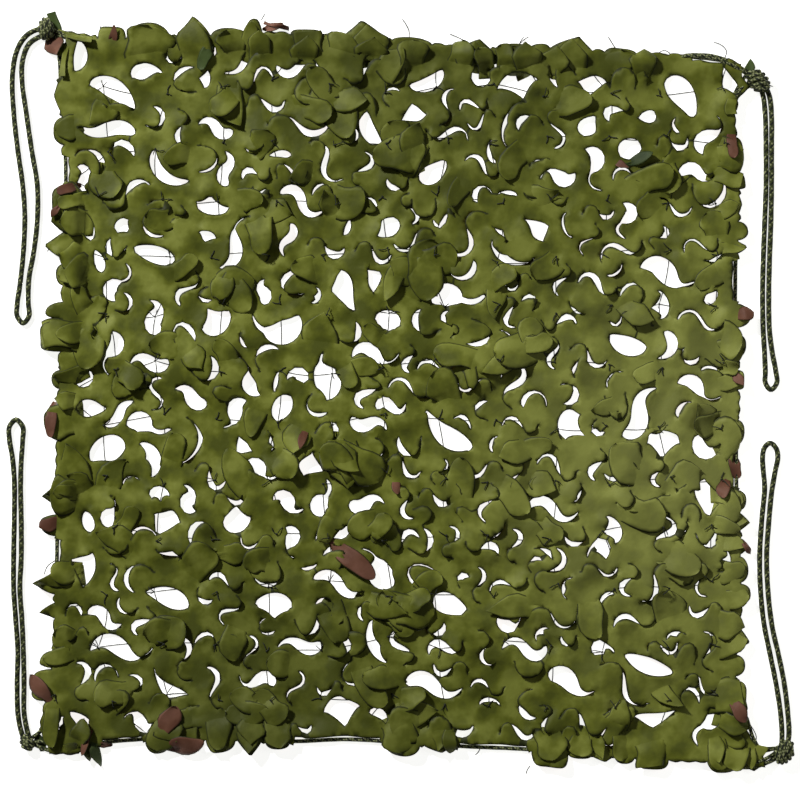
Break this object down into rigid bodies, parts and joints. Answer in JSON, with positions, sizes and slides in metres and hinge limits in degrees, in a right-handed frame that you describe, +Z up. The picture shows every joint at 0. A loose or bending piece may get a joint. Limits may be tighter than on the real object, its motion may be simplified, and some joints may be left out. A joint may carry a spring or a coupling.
{
  "type": "camouflage net",
  "caption": "Square olive camouflage net laid out flat, slit garnish cloth with leafy edges over a perimeter rope, knotted corners and doubled tie cords",
  "frame": {"origin": "middle of the net's square on the floor under it", "axes": "+Z up off the floor, +X to the right and +Y to the top of the net as it is looked at from above"},
  "size_m": [1.1336, 1.0888, 0.0152],
  "materials": {
    "garnish_cloth": "matte woven polyester with a slight sheen, olive face, brown and dark green reverse",
    "perimeter_rope": "braided cord, olive with dark flecks",
    "tie_cord": "braided cord, olive with dark flecks"
  },
  "bodies": {
    "root": {"net_cloth": "garnish_cloth", "rope_top": "perimeter_rope", "rope_right": "perimeter_rope", "rope_bottom": "perimeter_rope", "rope_left": "perimeter_rope", "knot_top_left": "perimeter_rope", "knot_top_right": "perimeter_rope", "knot_bottom_left": "perimeter_rope", "knot_bottom_right": "perimeter_rope", "tie_top_left": "tie_cord", "tie_top_right": "tie_cord", "tie_bottom_left": "tie_cord", "tie_bottom_right": "tie_cord"}
  },
  "joints": []
}
